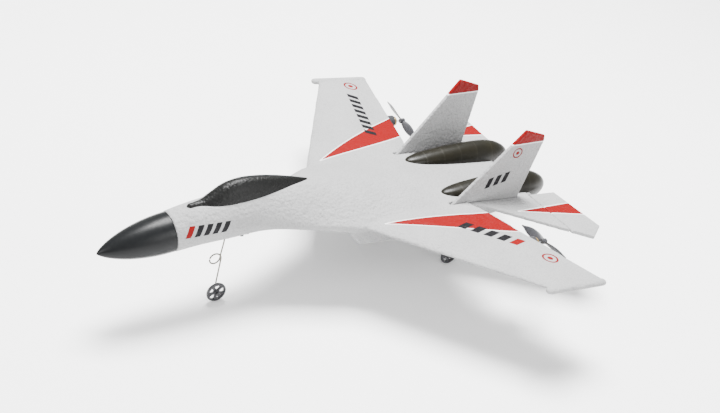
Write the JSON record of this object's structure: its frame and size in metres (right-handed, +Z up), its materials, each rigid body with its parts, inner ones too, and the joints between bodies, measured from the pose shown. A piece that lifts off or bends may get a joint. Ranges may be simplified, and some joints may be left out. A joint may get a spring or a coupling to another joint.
{
  "type": "radio-controlled foam jet",
  "caption": "Light foam radio-controlled jet with a pusher propeller behind each wing, a fin above each engine, trim elevators and a wire tricycle undercarriage.",
  "frame": {"origin": "on the ground under the middle of the aircraft's box, with the wheels on the ground", "axes": "+X to the aircraft's left, +Y aft, +Z up; the nose points along -Y and stands about 7 degrees nose up on its wheels"},
  "size_m": [0.3476, 0.3964, 0.129],
  "materials": {
    "white_foam": "matte",
    "black_foam": "satin",
    "black_plastic": "satin",
    "smoked_plastic": "gloss",
    "spring_steel": "satin",
    "bright_steel": "polished",
    "brass": "satin",
    "circuit_board": "satin",
    "battery_sleeve": "satin",
    "red_lead": "satin",
    "white_plastic": "satin"
  },
  "bodies": {
    "airframe": {"foam_airframe": "white_foam", "nose_cone": "black_plastic", "canopy": "black_foam", "left_engine_cover": "smoked_plastic", "right_engine_cover": "smoked_plastic", "left_fin": "white_foam", "right_fin": "white_foam", "left_motor_mount": "black_plastic", "right_motor_mount": "black_plastic", "left_motor_can": "bright_steel", "right_motor_can": "bright_steel", "left_motor_cap": "brass", "right_motor_cap": "brass", "left_motor_lead": "red_lead", "right_motor_lead": "red_lead", "nose_leg_socket": "black_plastic", "nose_leg_upper_wire": "spring_steel", "left_leg_socket": "black_plastic", "right_leg_socket": "black_plastic", "left_leg_wire": "spring_steel", "right_leg_wire": "spring_steel", "left_wheel_collar": "black_plastic", "right_wheel_collar": "black_plastic", "bay_box": "black_plastic", "battery": "battery_sleeve", "receiver_board": "circuit_board", "battery_socket": "white_plastic", "battery_plug": "white_plastic", "battery_lead": "red_lead", "power_switch": "black_plastic"},
    "left_rotor": {"left_motor_shaft": "bright_steel", "left_propeller": "black_plastic"},
    "right_rotor": {"right_motor_shaft": "bright_steel", "right_propeller": "black_plastic"},
    "nose_leg": {"nose_leg_lower_wire": "spring_steel", "nose_wheel_collar": "black_plastic"},
    "nose_wheel": {"nose_wheel": "black_plastic"},
    "left_wheel": {"left_main_wheel": "black_plastic"},
    "right_wheel": {"right_main_wheel": "black_plastic"},
    "left_elevator": {"left_elevator": "white_foam"},
    "right_elevator": {"right_elevator": "white_foam"},
    "hatch": {"battery_hatch": "black_plastic"},
    "switch_knob": {"power_switch_knob": "black_plastic"}
  },
  "joints": [
    {"name": "left_propeller_spin", "type": "hinge", "parent": "airframe", "child": "left_rotor", "pos_m": [0.1019, 0.13317, 0.06065], "axis": [0, 0.9926, -0.1211], "continuous": true},
    {"name": "right_propeller_spin", "type": "hinge", "parent": "airframe", "child": "right_rotor", "pos_m": [-0.1019, 0.13317, 0.06065], "axis": [0, 0.9926, -0.1211], "continuous": true},
    {"name": "nose_leg_flex", "type": "hinge", "parent": "airframe", "child": "nose_leg", "pos_m": [0, -0.10241, 0.03712], "axis": [1, 0, 0], "range_deg": [-6, 6], "stiffness_Nm_per_rad": 0.31},
    {"name": "nose_wheel_spin", "type": "hinge", "parent": "nose_leg", "child": "nose_wheel", "pos_m": [0.00405, -0.10131, 0.00817], "axis": [1, 0, 0], "continuous": true},
    {"name": "left_wheel_spin", "type": "hinge", "parent": "airframe", "child": "left_wheel", "pos_m": [0.0302, 0.10259, 0.00817], "axis": [1, 0, 0], "continuous": true},
    {"name": "right_wheel_spin", "type": "hinge", "parent": "airframe", "child": "right_wheel", "pos_m": [-0.0302, 0.10259, 0.00817], "axis": [1, 0, 0], "continuous": true},
    {"name": "left_elevator_hinge", "type": "hinge", "parent": "airframe", "child": "left_elevator", "pos_m": [0.07, 0.16765, 0.05916], "axis": [1, 0, 0], "range_deg": [-20, 20]},
    {"name": "right_elevator_hinge", "type": "hinge", "parent": "airframe", "child": "right_elevator", "pos_m": [-0.07, 0.16765, 0.05916], "axis": [1, 0, 0], "range_deg": [-20, 20]},
    {"name": "battery_hatch_hinge", "type": "hinge", "parent": "airframe", "child": "hatch", "pos_m": [0, -0.03921, 0.05892], "axis": [-1, 0, 0], "range_deg": [0, 95]},
    {"name": "power_switch_slide", "type": "slide", "parent": "airframe", "child": "switch_knob", "axis": [0, 0.9926, -0.1211], "range_m": [0, 0.002]}
  ]
}
